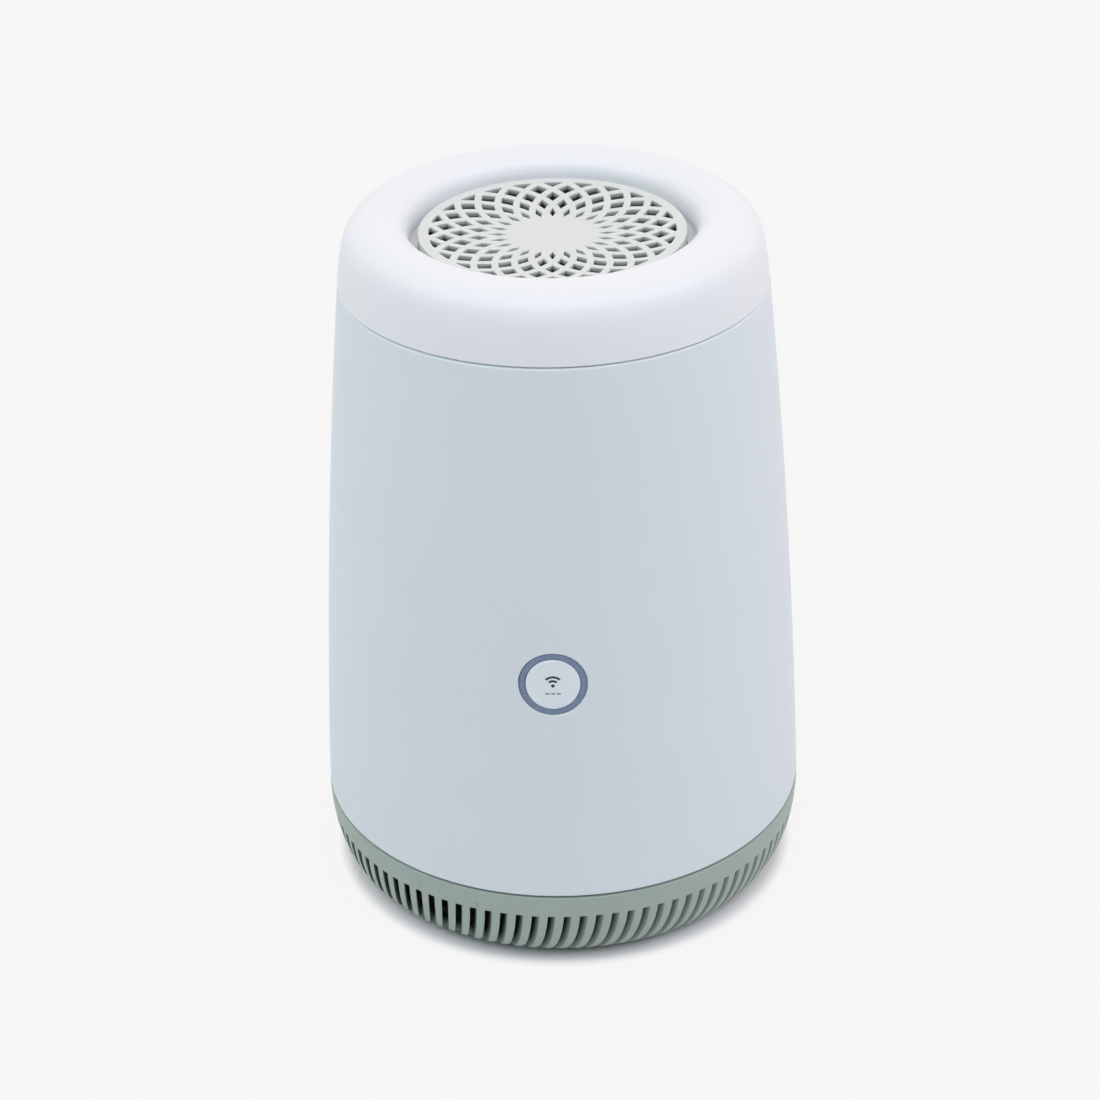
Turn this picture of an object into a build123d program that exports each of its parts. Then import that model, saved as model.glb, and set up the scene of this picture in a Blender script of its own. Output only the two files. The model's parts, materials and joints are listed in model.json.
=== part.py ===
from build123d import *
import os
from math import acos, cos, degrees, hypot, radians, sin, sqrt

# Wireless router in a tapered round tower. Millimetres, +Z up, front towards -Y,
# origin on the floor under the middle of the tower.

# Outer form
base_r = 65.0            # radius of the side at the base seam, the widest place
top_r = 55.0             # radius of the side at the crown seam
side_bow = 1.2           # how far the side bows out of a straight taper
foot_h = 1.2             # the feet stand this far out of the underside
base_h = 22.1            # underside to base seam
body_h = 147.8           # base seam to crown seam
crown_h = 16.9           # crown seam to crest
seam_gap = 0.4           # shadow gap at both seams
body_wall = 2.5
body_edge_r = 0.8        # rounded outer edges of the body at its seams
fit_gap = 0.2            # play between moulded pieces that slip into each other
front_angle = -90.0      # direction of the front, from +X
over = 6.0               # cutting forms run this far past what they cut

# Base with its swirl of louvres
base_wall = 3.0
floor_t = 4.0
base_flat_r = 55.6       # flat part of the underside
bowl_bulge = 0.2         # how far the bowl's side swells below the seam
bowl_drop = 8.6          # how far the bowl's side stays nearly upright below the seam
bowl_reach = 6.8         # how far the bowl's round runs out from the flat underside
spigot_h = 4.5           # collar that enters the body
spigot_t = 2.3
spigot_root = 4.0        # how far the collar's root reaches down inside the bowl
louvre_count = 96
louvre_gap = 1.6         # width of each slot, square to its walls
louvre_turn = 33.5       # degrees from straight inwards
louvre_top = 6.4         # plain band between the slots and the base seam
louvre_in_r = 57.3       # the slots end inwards here
louvre_start = 2.6       # degrees from the front to the middle of a slot
plate_r = 51.8           # base plate, let into the bowl from below
plate_lip = 1.7          # the plate's lip stands this far out of it
plate_lip_t = 1.2

# Feet and the screws under them
foot_r = 6.0
foot_recess = 0.6
foot_edge_r = 0.4
post_r = 45.0            # ring of the chassis posts, the feet and the base screws
post_count = 4
post_angle = 45.0        # degrees from +X to the first of them
screw_r = 1.4
screw_head_r = 2.8
screw_head_h = 1.6
screw_bite = 10.0
thread_gap = 0.05        # between a screw and its pilot hole

# Crown
crown_wall = 2.4
crest_r = 44.0
crown_rise = 13.0        # how far the crown's side carries the body's slope upwards
crest_out = 8.3          # flat run of the crest, outwards
crest_in = 6.4           # flat run of the crest, inwards
throat_r = 36.4
lip_drop = 1.5           # how soon the lip turns down into the throat
throat_round = 9.0       # the throat is straight from this far below the crest
throat_h = 14.5          # crest to the throat's lower edge
tongue_h = 5.0
tongue_t = 1.8
tongue_root = 2.5
boss_r = 2.6
crown_boss_r = 44.0      # ring of the crown's screw bosses

# Grille disc and its carrier
grille_r = 34.0
grille_t = 2.5
grille_dish = 1.5        # the disc's middle lies this far below its rim
grille_drop = 4.4        # crest to the disc's rim
grille_rim = 2.65
strand_w = 1.8
strand_count = 24        # circles whose arcs cross as the strands
strand_r = 19.4
strand_offset = 20.0     # from the axis to the circles' centres
grille_turn = 1.5        # degrees that the disc sits turned from the button
hole_rows = 5
hole_steps = 10          # half pitches between the circles that cross inside the first row
carrier_t = 2.2
carrier_in_r = 30.0
carrier_out_r = 47.0
leg_count = 4
leg_w = 5.0
leg_t = 2.4
small_screw_r = 0.95
small_head_r = 2.0
small_head_h = 1.4
small_bite = 6.0

# Setup button on the front
button_h = 63.3          # above the base seam
cap_r = 6.9
cap_edge_r = 0.3
cap_front_t = 2.0
cap_skirt_t = 1.3
cap_stem_r = 2.5
cap_flange = 0.8
cap_flange_t = 1.0
hole_edge_r = 0.3        # rounded edge of the body's hole for the ring
ring_in_gap = 0.2
ring_w = 1.4             # width of the light ring's face
ring_inset = 0.35        # the ring's face lies this far below the body's surface
ring_ledge = 4.9         # from the body's surface to the ledge that holds the cap back
ring_flange = 1.75
ring_feet = 3            # feet of the ring on the button board
ring_foot_turn = 30.0
light_gap = 0.4          # from the light-emitting diodes to the ring
button_board_depth = 11.9
button_board_w = 40.0
button_board_h = 22.0
button_board_t = 1.2
boss_spread = 16.0       # button board's screw bosses, each side of the middle
led_count = 6
led_t = 0.8
led_w = 1.4
tact_w = 6.0
tact_h = 3.1
plunger_r = 1.7
plunger_out = 1.2
plunger_in = 0.9
plunger_play = 0.05
tact_travel = 0.5
stop_gap = 0.2           # room left behind a button at the end of its travel

# Socket panel at the back
panel_y = 50.2           # outer face of the panel
panel_t = 1.8
panel_low = 6.7          # panel's lower edge above the base seam
panel_h = 101.0
panel_w = 34.0
panel_corner = 5.0
window_edge_r = 0.8      # rounded edge of the body's window
tray_wall = 1.6
socket_gap = 0.2         # between a socket and its cut-out
jack_w = 15.9
jack_h = 13.4
jack_l = 21.3
jack_inset = 0.2         # the socket's mouth lies this far inside the panel's face
jack_pitch = 17.0
jack_first = 33.5        # lowest network socket above the panel's lower edge
plug_w = 11.9
plug_h = 7.2
plug_depth = 14.0
latch_steps = ((6.6, 1.6), (3.6, 1.2))
plug_floor = 2.1         # wall between the plug and the board
dc_at = 7.0              # power inlet above the panel's lower edge
dc_w = 9.0
dc_h = 11.0
dc_l = 14.0
dc_nose_r = 4.0
dc_nose_l = 3.0
dc_bore_r = 3.1
dc_depth = 9.5
dc_pin_r = 1.0
dc_pin_l = 8.5
power_at = 19.0          # power button above the panel's lower edge
power_r = 4.0
power_out = 2.2          # stands this far out of the panel
power_edge_r = 0.6
power_travel = 2.0
power_stem = 3.6
power_stem_in = 3.5
switch_w = 8.0
switch_l = 12.0
switch_y = 44.0
reset_at = 96.5          # reset pinhole above the panel's lower edge
reset_hole_r = 1.2
reset_r = 1.5
reset_w = 6.0
reset_l = 3.5
reset_out = 1.1
reset_in = 1.1
reset_gap = 0.3          # from the reset plunger to the panel
reset_travel = 0.3

# Inner frame and main board
chassis_t = 3.0
chassis_in_r = 38.0
chassis_gap = 0.4        # chassis foot ring inside the bowl's flat floor
post_w = 10.0
post_d = 6.0
chassis_top = 17.1       # crown seam down to the chassis top
top_ring_t = 4.0
rail_w = 10.0
rail_l = 88.0
rail_low_h = 12.8
rail_top_h = 10.0
rail_grip = 4.0          # how deep the board sits in each rail
board_t = 1.6
board_front_y = -42.0
board_back_y = 42.0

# On the main board
chip_t = 1.2
chip_w = 20.0
chip_drop = 58.0         # upper edge of the board down to the main chip's middle
memory_w = 11.0
memory_offset = 18.0
pad_t = 0.5
sink_plate_t = 4.0
sink_w = 50.0
sink_h = 90.0
fin_h = 15.9
fin_t = 1.6
fin_count = 9
sink_screw_y = 21.0
sink_screw_z = 40.0
sink_screw_bite = 4.5
shield_h = 3.2
shield_t = 0.4
radio_can_w = 36.0
radio_can_h = 40.0
radio_y = -12.0
radio_z = -8.0           # from the main chip's middle
amplifier_can_w = 30.0
amplifier_can_h = 18.0
amplifier_y = -1.0
amplifier_z = 27.0       # from the main chip's middle
link_w = 5.0
link_h = 12.0
link_grip = 6.0          # how far the link socket reaches over the main board
antenna_h = 9.0
antenna_l = 24.0
antenna_t = 0.5
antenna_arm = 3.0
antenna_leg = 2.0
antenna_feed = 5.0
antenna_gap = 1.7        # rear antenna clear of the sockets
antenna_apart = 7.0      # between the two antennas of the upper row
antenna_edge = 6.0       # front antennas in from the board's front edge
antenna_low = 14.0       # lower front antenna above the lower rail
antenna_high = 4.0       # upper front antenna below the upper row

# Heights and places that follow
underside_z = foot_h
floor_z = underside_z + floor_t
base_seam_z = underside_z + base_h
crown_seam_z = base_seam_z + body_h
crest_z = crown_seam_z + crown_h
base_top_z = base_seam_z - seam_gap / 2
body_low_z = base_seam_z + seam_gap / 2
body_high_z = crown_seam_z - seam_gap / 2
crown_low_z = crown_seam_z + seam_gap / 2
throat_low_z = crest_z - throat_h
grille_z = crest_z - grille_drop
button_z = base_seam_z + button_h
panel_low_z = base_seam_z + panel_low
panel_mid_z = panel_low_z + panel_h / 2
board_face_x = -jack_h / 2
board_back_x = board_face_x - board_t
board_mid_x = (board_face_x + board_back_x) / 2
panel_in_y = panel_y - panel_t
chassis_top_z = crown_seam_z - chassis_top
rail_low_z = floor_z + rail_low_h
rail_high_z = chassis_top_z - rail_top_h
board_low_z = rail_low_z - rail_grip
board_top_z = rail_high_z + rail_grip
chip_mid_z = board_top_z - chip_drop
sink_x = board_back_x - chip_t - pad_t


def side_radius(z):
    up = (z - base_seam_z) / body_h
    return base_r + (top_r - base_r) * up + 4 * side_bow * up * (1 - up)


face_y = -side_radius(button_z)
button_board_y = face_y + button_board_depth
ring_in_r = cap_r + ring_in_gap
ring_out_r = ring_in_r + ring_w
ring_bore_r = cap_r + cap_flange + ring_in_gap
ledge_y = face_y + ring_ledge
tact_y = button_board_y - tact_h
stem_end_y = tact_y - plunger_out


def span(x, y, z):
    size = Box(x[1] - x[0], y[1] - y[0], z[1] - z[0])
    return Pos((x[0] + x[1]) / 2, (y[0] + y[1]) / 2, (z[0] + z[1]) / 2) * size


def rod_x(radius, y, z, start, end):
    return Pos((start + end) / 2, y, z) * Rot(0, 90, 0) * Cylinder(radius, abs(end - start))


def rod_y(radius, x, z, start, end):
    return Pos(x, (start + end) / 2, z) * Rot(90, 0, 0) * Cylinder(radius, abs(end - start))


def rod_z(radius, x, y, start, end):
    return Pos(x, y, (start + end) / 2) * Cylinder(radius, abs(end - start))


def lathe(*lines):
    edges = [edge for line in lines for edge in line.edges()]
    return revolve(Plane.XZ * make_face(edges), Axis.Z)


def turned_ring(inner, outer, low, high):
    return lathe(Polyline((inner, low), (outer, low), (outer, high), (inner, high), (inner, low)))


def around(radius):
    angles = [radians(post_angle + 360 / post_count * step) for step in range(post_count)]
    return [(radius * cos(angle), radius * sin(angle)) for angle in angles]


def group(solids):
    return Compound(children=list(solids))


# The body's filled side, moved inwards by an inset
def side_solid(inset, low, high):
    middle = (low + high) / 2
    points = [(side_radius(z) - inset, z) for z in (low, middle, high)]
    return lathe(ThreePointArc(*points), Polyline(points[2], (0, high), (0, low), points[0]))


def panel_block(grow, start, end):
    outline = RectangleRounded(panel_w + 2 * grow, panel_h + 2 * grow, panel_corner + grow)
    block = extrude(Plane.XZ * outline, amount=start - end)
    return Pos(0, start, panel_mid_z) * block


# Edges of the front pocket or the cap that lie on the body's side
def front_rim(solid):
    return [edge for edge in solid.edges() if edge.bounding_box().max.Y < face_y + ring_ledge / 2]


def body_shell():
    shell = side_solid(0, body_low_z, body_high_z)
    rims = shell.edges().filter_by(GeomType.CIRCLE)
    shell = fillet([rims.sort_by(Axis.Z)[0], rims.sort_by(Axis.Z)[-1]], body_edge_r)
    shell -= rod_y(ring_out_r + fit_gap, 0, button_z, face_y - over, ledge_y)
    shell = fillet(front_rim(shell), hole_edge_r)
    shell -= panel_block(0, panel_y, base_r + over)
    window_rim = [edge for edge in shell.edges() if edge.bounding_box().min.Y > panel_y + panel_t]
    shell = fillet(window_rim, window_edge_r)
    shell -= side_solid(body_wall, body_low_z - over, body_high_z + over)
    inside = side_solid(body_wall / 2, body_low_z, body_high_z)
    for x in (-boss_spread, boss_spread):
        shell += rod_y(boss_r, x, button_z, face_y, button_board_y) & inside
        shell -= rod_y(small_screw_r + thread_gap, x, button_z, button_board_y - small_bite, button_board_y)
    return shell


def bowl(inset, flat_r, low):
    side_r = base_r - inset
    curve = Bezier(
        (side_r, base_top_z),
        (side_r + bowl_bulge, base_top_z - bowl_drop),
        (base_flat_r + bowl_reach - inset, low),
        (flat_r, low),
    )
    return lathe(curve, Polyline((flat_r, low), (0, low), (0, base_top_z), (side_r, base_top_z)))


def base_louvre():
    shell = bowl(0, base_flat_r, underside_z) - bowl(base_wall, chassis_r() + chassis_gap, floor_z)
    collar_out = side_radius(base_top_z + spigot_h) - body_wall - fit_gap
    collar_in = collar_out - spigot_t
    root_out = base_r - base_wall / 2
    root_z = base_top_z - spigot_root
    tip_z = base_top_z + spigot_h
    shell += lathe(Polyline(
        (collar_in, root_z), (root_out, root_z), (root_out, base_top_z),
        (collar_out, base_top_z), (collar_out, tip_z), (collar_in, tip_z), (collar_in, root_z),
    ))
    shell -= turned_ring(0, plate_r + fit_gap, underside_z - over, floor_z + over)
    lip_r = plate_r + plate_lip + fit_gap
    shell -= turned_ring(0, lip_r, underside_z - over, underside_z + plate_lip_t)
    slope = base_r * cos(radians(louvre_turn))
    reach = slope - sqrt(slope ** 2 - base_r ** 2 + louvre_in_r ** 2)
    slot_top_z = base_seam_z - louvre_top
    slot = Box(reach + over, louvre_gap, slot_top_z + over)
    slot = Pos((reach - over) / 2, 0, (slot_top_z - over) / 2) * slot
    slot = Rot(0, 0, front_angle) * Pos(base_r, 0, 0) * Rot(0, 0, 180 + louvre_turn) * slot
    pitch = 360 / louvre_count
    return shell - [Rot(0, 0, louvre_start + pitch * step) * slot for step in range(louvre_count)]


def chassis_r():
    return plate_r + plate_lip + chassis_gap


def base_plate():
    lip_top = underside_z + plate_lip_t - fit_gap / 2
    plate = turned_ring(0, plate_r, underside_z, floor_z)
    plate += turned_ring(plate_r - plate_lip, plate_r + plate_lip, underside_z, lip_top)
    seat_z = underside_z + foot_recess
    for x, y in around(post_r):
        plate -= rod_z(foot_r + fit_gap / 2, x, y, 0, seat_z)
        plate -= rod_z(screw_head_r + fit_gap, x, y, 0, seat_z + screw_head_h)
        plate -= rod_z(screw_r + fit_gap, x, y, 0, floor_z + floor_t)
    return plate


def rubber_feet():
    feet = []
    for x, y in around(post_r):
        foot = rod_z(foot_r, x, y, 0, underside_z + foot_recess)
        feet.append(fillet(foot.edges().sort_by(Axis.Z)[0], foot_edge_r))
    return group(feet)


def base_screws():
    head_low = underside_z + foot_recess
    head_top = head_low + screw_head_h
    screws = []
    for x, y in around(post_r):
        head = rod_z(screw_head_r, x, y, head_low, head_top)
        screws.append(head + rod_z(screw_r, x, y, head_top, floor_z + screw_bite))
    return group(screws)


# Filled crown section, moved inwards by an inset, down to the given heights
def crown_skin(inset, throat_low, side_low):
    side_r = side_radius(crown_low_z) - inset
    lean = side_radius(crown_low_z) - side_radius(crown_low_z + crown_rise)
    top = crest_z - inset
    wall_r = throat_r + inset
    outside = Bezier(
        (side_r, side_low), (side_r - lean, crown_low_z + crown_rise),
        (crest_r + crest_out - inset, top), (crest_r, top),
    )
    inside = Bezier(
        (crest_r, top), (crest_r - crest_in + inset, top),
        (wall_r, top - lip_drop), (wall_r, crest_z - throat_round),
    )
    foot = Polyline(
        (wall_r, crest_z - throat_round), (wall_r, throat_low), (crest_r, throat_low),
        (crest_r, side_low), (side_r, side_low),
    )
    return lathe(outside, inside, foot)


def crown_ring():
    skin = crown_skin(0, throat_low_z, crown_low_z)
    skin -= crown_skin(crown_wall, throat_low_z - crown_wall, crown_low_z - crown_wall)
    tongue_out = side_radius(body_high_z) - body_wall - fit_gap
    tongue_in = tongue_out - tongue_t
    root_out = side_radius(crown_low_z) - crown_wall / 2
    root_z = crown_low_z + tongue_root
    tip_z = crown_low_z - tongue_h
    skin += lathe(Polyline(
        (tongue_in, tip_z), (tongue_out, tip_z), (tongue_out, crown_low_z),
        (root_out, crown_low_z), (root_out, root_z), (tongue_in, root_z), (tongue_in, tip_z),
    ))
    for x, y in around(crown_boss_r):
        skin += rod_z(boss_r, x, y, throat_low_z, crest_z - crown_wall / 2)
        skin -= rod_z(small_screw_r + thread_gap, x, y, throat_low_z, throat_low_z + small_bite)
    return skin


def arc_between(centre, radius, start, end):
    mid_x = (start[0] + end[0]) / 2 - centre[0]
    mid_y = (start[1] + end[1]) / 2 - centre[1]
    stretch = radius / hypot(mid_x, mid_y)
    return ThreePointArc(start, (centre[0] + mid_x * stretch, centre[1] + mid_y * stretch), end)


def on_circle(radius, angle):
    return (radius * cos(radians(angle)), radius * sin(radians(angle)))


# Where two circles cross, the crossing further from the axis
def outer_crossing(centre_a, radius_a, centre_b, radius_b):
    gap_x = centre_b[0] - centre_a[0]
    gap_y = centre_b[1] - centre_a[1]
    gap = hypot(gap_x, gap_y)
    along = (radius_a ** 2 - radius_b ** 2 + gap ** 2) / (2 * gap)
    aside = sqrt(radius_a ** 2 - along ** 2)
    unit = (gap_x / gap, gap_y / gap)
    foot = (centre_a[0] + along * unit[0], centre_a[1] + along * unit[1])
    crossings = [(foot[0] - side * unit[1], foot[1] + side * unit[0]) for side in (aside, -aside)]
    return max(crossings, key=lambda point: hypot(*point))


# One opening of the lattice, with its middle on +X: four arcs of the strands' edges, cut by the rim
def lattice_hole(row):
    half_step = 180 / strand_count
    steps = hole_steps - row
    wide = strand_r + strand_w / 2
    narrow = strand_r - strand_w / 2
    rim = grille_r - grille_rim
    near = on_circle(strand_offset, half_step * (steps + 1))
    far = on_circle(strand_offset, half_step * (steps - 1))
    near_low = (near[0], -near[1])
    far_low = (far[0], -far[1])
    inner = (near[0] + sqrt(wide ** 2 - near[1] ** 2), 0)
    outer = (far[0] + sqrt(narrow ** 2 - far[1] ** 2), 0)
    low = outer_crossing(near_low, wide, far, narrow)
    high = (low[0], -low[1])
    edges = [arc_between(near_low, wide, inner, low), arc_between(near, wide, high, inner)]
    if outer[0] <= rim:
        edges += [arc_between(far, narrow, low, outer), arc_between(far_low, narrow, outer, high)]
    else:
        swing = degrees(acos((rim ** 2 + strand_offset ** 2 - narrow ** 2) / (2 * rim * strand_offset)))
        rim_angle = swing - half_step * (steps - 1)
        rim_high = on_circle(rim, rim_angle)
        rim_low = (rim_high[0], -rim_high[1])
        edges += [arc_between(far, narrow, low, rim_low), arc_between((0, 0), rim, rim_low, rim_high)]
        edges += [arc_between(far_low, narrow, rim_high, high)]
    return Wire(edges)


# Shallow dish with a flat rim, before the lattice is cut
def dished_disc():
    rim = grille_r - grille_rim
    under_z = grille_z - grille_t
    top = Bezier((0, grille_z - grille_dish), (rim / 2, grille_z - grille_dish), (rim, grille_z))
    edge = Polyline((rim, grille_z), (grille_r, grille_z), (grille_r, under_z), (rim, under_z))
    under = Bezier((rim, under_z), (rim / 2, under_z - grille_dish), (0, under_z - grille_dish))
    return lathe(top, edge, under, Line((0, under_z - grille_dish), (0, grille_z - grille_dish)))


# Lattice disc: crossing arcs of equal circles set round the axis, with the openings between them
def top_grille():
    pitch = 360 / strand_count
    holes = []
    for row in range(1, hole_rows + 1):
        hole = lattice_hole(row)
        start = front_angle + grille_turn + (0 if row % 2 else pitch / 2)
        holes += [Rot(0, 0, start + pitch * step) * hole for step in range(strand_count)]
    face = Pos(0, 0, grille_z - grille_t - grille_dish) * Face(Wire.make_circle(grille_r), holes)
    return extrude(face, amount=grille_t + grille_dish, dir=(0, 0, 1)) & dished_disc()


def grille_carrier():
    carrier = turned_ring(carrier_in_r, carrier_out_r, throat_low_z - carrier_t, throat_low_z)
    leg_mid = grille_r - grille_rim / 2
    leg = span((leg_mid - leg_t / 2, leg_mid + leg_t / 2), (-leg_w / 2, leg_w / 2),
               (throat_low_z, grille_z - grille_t))
    for step in range(leg_count):
        carrier += Rot(0, 0, 360 / leg_count * step) * leg
    for x, y in around(crown_boss_r):
        carrier -= rod_z(small_screw_r + fit_gap, x, y, throat_low_z - carrier_t, throat_low_z)
    return carrier


def crown_screws():
    head_top = throat_low_z - carrier_t
    screws = []
    for x, y in around(crown_boss_r):
        head = rod_z(small_head_r, x, y, head_top - small_head_h, head_top)
        screws.append(head + rod_z(small_screw_r, x, y, head_top, throat_low_z + small_bite - fit_gap))
    return group(screws)


def setup_button():
    flange_y = ledge_y + cap_flange_t
    cap = rod_y(cap_r, 0, button_z, face_y - over, ledge_y) & side_solid(0, body_low_z, body_high_z)
    cap = fillet(front_rim(cap), cap_edge_r)
    cap += rod_y(cap_r + cap_flange, 0, button_z, ledge_y, flange_y)
    hollow = rod_y(cap_r - cap_skirt_t, 0, button_z, face_y + cap_front_t, flange_y)
    cap -= hollow
    return cap + rod_y(cap_stem_r, 0, button_z, face_y + cap_front_t, stem_end_y)


def light_ring():
    rear_y = button_board_y - led_t - light_gap
    tube = rod_y(ring_out_r, 0, button_z, face_y - over, rear_y)
    tube &= side_solid(ring_inset, body_low_z, body_high_z)
    flange = rod_y(ring_out_r + ring_flange, 0, button_z, face_y, ledge_y)
    tube += flange & side_solid(body_wall + fit_gap, body_low_z, body_high_z)
    feet = rod_y(ring_out_r, 0, button_z, rear_y, button_board_y)
    arm = span((0, ring_out_r + over), (rear_y, button_board_y), (-led_w / 2, led_w / 2))
    for step in range(ring_feet):
        turn = Rot(0, ring_foot_turn + 360 / ring_feet * step, 0)
        tube += feet & (Pos(0, 0, button_z) * turn * arm)
    tube -= rod_y(ring_in_r, 0, button_z, face_y - over, button_board_y)
    return tube - rod_y(ring_bore_r, 0, button_z, ledge_y, button_board_y)


def ring_leds():
    middle = (ring_bore_r + ring_out_r) / 2
    lamp = span((middle - led_w / 2, middle + led_w / 2), (button_board_y - led_t, button_board_y),
                (-led_w / 2, led_w / 2))
    pitch = 360 / led_count
    return group([Pos(0, 0, button_z) * Rot(0, pitch * step, 0) * lamp for step in range(led_count)])


def button_board():
    back = button_board_y + button_board_t
    board = span((-button_board_w / 2, button_board_w / 2), (button_board_y, back),
                 (button_z - button_board_h / 2, button_z + button_board_h / 2))
    for x in (-boss_spread, boss_spread):
        board -= rod_y(small_screw_r + fit_gap, x, button_z, button_board_y, back)
    return board


def button_screws():
    back = button_board_y + button_board_t
    screws = []
    for x in (-boss_spread, boss_spread):
        head = rod_y(small_head_r, x, button_z, back, back + small_head_h)
        tip = button_board_y - small_bite + fit_gap
        screws.append(head + rod_y(small_screw_r, x, button_z, tip, back))
    return group(screws)


def setup_switch():
    half = tact_w / 2
    case = span((-half, half), (tact_y, button_board_y), (button_z - half, button_z + half))
    deep = plunger_in + tact_travel + stop_gap
    return case - rod_y(plunger_r + plunger_play, 0, button_z, tact_y, tact_y + deep)


def setup_plunger():
    return rod_y(plunger_r, 0, button_z, stem_end_y, tact_y + plunger_in)


def socket_heights():
    return [panel_low_z + jack_first + jack_pitch * step for step in range(4)]


def power_x():
    return board_face_x + switch_w / 2


def dc_x():
    return board_face_x + dc_h / 2


def reset_x():
    return board_face_x + reset_w / 2


# Tray behind the body's window: walls up to the body, a flat panel with the sockets' cut-outs
def io_panel():
    tray = panel_block(tray_wall, panel_in_y, base_r + over)
    tray &= side_solid(body_wall + fit_gap, base_top_z, body_high_z)
    tray -= panel_block(0, panel_y, base_r + over)
    hole_w = jack_w / 2 + socket_gap
    hole_h = jack_h / 2 + socket_gap
    for z in socket_heights():
        tray -= span((-hole_h, hole_h), (panel_in_y - over, panel_y + over), (z - hole_w, z + hole_w))
    round_holes = (
        (dc_nose_r + socket_gap, dc_x(), dc_at),
        (power_r + socket_gap, power_x(), power_at),
        (reset_hole_r, reset_x(), reset_at),
    )
    for radius, x, height in round_holes:
        tray -= rod_y(radius, x, panel_low_z + height, panel_in_y - over, panel_y + over)
    return tray


# Eight-contact network socket: plug space with the stepped slot of its latch
def network_jack(z):
    mouth = panel_y - jack_inset
    jack = span((-jack_h / 2, jack_h / 2), (mouth - jack_l, mouth), (z - jack_w / 2, z + jack_w / 2))
    step_x = board_face_x + plug_floor
    for width, height in ((plug_w, plug_h),) + latch_steps:
        jack -= span((step_x, step_x + height), (mouth - plug_depth, mouth), (z - width / 2, z + width / 2))
        step_x += height
    return jack


def dc_jack():
    z = panel_low_z + dc_at
    mouth = panel_y - jack_inset
    shoulder = mouth - dc_nose_l
    case = span((board_face_x, board_face_x + dc_h), (shoulder - dc_l, shoulder), (z - dc_w / 2, z + dc_w / 2))
    case += rod_y(dc_nose_r, dc_x(), z, shoulder, mouth)
    return case - rod_y(dc_bore_r, dc_x(), z, mouth - dc_depth, mouth)


def dc_jack_pin():
    root = panel_y - jack_inset - dc_depth
    return rod_y(dc_pin_r, dc_x(), panel_low_z + dc_at, root, root + dc_pin_l)


def power_button():
    z = panel_low_z + power_at
    front = panel_y + power_out
    rear = switch_y + power_travel + stop_gap
    cap = rod_y(power_r, power_x(), z, rear, front)
    cap = fillet(cap.edges().sort_by(Axis.Y)[-1], power_edge_r)
    half = power_stem / 2
    x = power_x()
    return cap + span((x - half, x + half), (switch_y - power_stem_in, rear), (z - half, z + half))


def power_switch():
    z = panel_low_z + power_at
    x = power_x()
    half = power_stem / 2 + plunger_play
    deep = power_stem_in + power_travel + stop_gap
    case = span((board_face_x, board_face_x + switch_w), (switch_y - switch_l, switch_y),
                (z - switch_w / 2, z + switch_w / 2))
    return case - span((x - half, x + half), (switch_y - deep, switch_y), (z - half, z + half))


def reset_switch():
    z = panel_low_z + reset_at
    front = panel_in_y - reset_gap - reset_out
    case = span((board_face_x, board_face_x + reset_w), (front - reset_l, front),
                (z - reset_w / 2, z + reset_w / 2))
    deep = reset_in + reset_travel + stop_gap
    return case - rod_y(reset_r + plunger_play, reset_x(), z, front - deep, front)


def reset_plunger():
    front = panel_in_y - reset_gap
    return rod_y(reset_r, reset_x(), panel_low_z + reset_at, front - reset_out - reset_in, front)


# Moulded frame: foot ring, four posts, top ring, and the two rails that grip the main board
def inner_chassis():
    foot_top = floor_z + chassis_t
    frame = turned_ring(chassis_in_r, chassis_r(), floor_z, foot_top)
    frame += turned_ring(chassis_in_r, post_r + post_d / 2, chassis_top_z - top_ring_t, chassis_top_z)
    post = span((post_r - post_d / 2, post_r + post_d / 2), (-post_w / 2, post_w / 2), (floor_z, chassis_top_z))
    for step in range(post_count):
        frame += Rot(0, 0, post_angle + 360 / post_count * step) * post
    rail_x = (board_mid_x - rail_w / 2, board_mid_x + rail_w / 2)
    rail_y = (-rail_l / 2, rail_l / 2)
    frame += span(rail_x, rail_y, (floor_z, rail_low_z))
    frame += span(rail_x, rail_y, (rail_high_z, chassis_top_z))
    groove = fit_gap / 2
    frame -= span((board_back_x - groove, board_face_x + groove), rail_y, (board_low_z, board_top_z + groove))
    for x, y in around(post_r):
        frame -= rod_z(screw_r + thread_gap, x, y, floor_z, floor_z + screw_bite + fit_gap)
    return frame


def sink_screw_places():
    return [(y, chip_mid_z + z) for y in (-sink_screw_y, sink_screw_y) for z in (-sink_screw_z, sink_screw_z)]


def main_board():
    board = span((board_back_x, board_face_x), (board_front_y, board_back_y), (board_low_z, board_top_z))
    for y, z in sink_screw_places():
        board -= rod_x(small_screw_r + fit_gap, y, z, board_back_x, board_face_x)
    return board


def chip_on_back(width, y, z, thick):
    return span((board_back_x - thick, board_back_x), (y - width / 2, y + width / 2), (z - width / 2, z + width / 2))


def main_chips():
    chips = [chip_on_back(chip_w, 0, chip_mid_z, chip_t)]
    for side in (-1, 1):
        chips.append(chip_on_back(memory_w, 0, chip_mid_z + side * memory_offset, chip_t))
    return group(chips)


def thermal_pad():
    pad = chip_on_back(chip_w, 0, chip_mid_z, pad_t)
    return Pos(-chip_t, 0, 0) * pad


def heat_sink():
    plate_in = sink_x - sink_plate_t
    z = (chip_mid_z - sink_h / 2, chip_mid_z + sink_h / 2)
    sink = span((plate_in, sink_x), (-sink_w / 2, sink_w / 2), z)
    pitch = (sink_w - fin_t) / (fin_count - 1)
    for step in range(fin_count):
        y = -sink_w / 2 + pitch * step
        sink += span((plate_in - fin_h, plate_in), (y, y + fin_t), z)
    for y, height in sink_screw_places():
        sink += rod_x(boss_r, y, height, sink_x, board_back_x)
        sink -= rod_x(small_screw_r + thread_gap, y, height, board_back_x - sink_screw_bite, board_back_x)
    return sink


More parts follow.
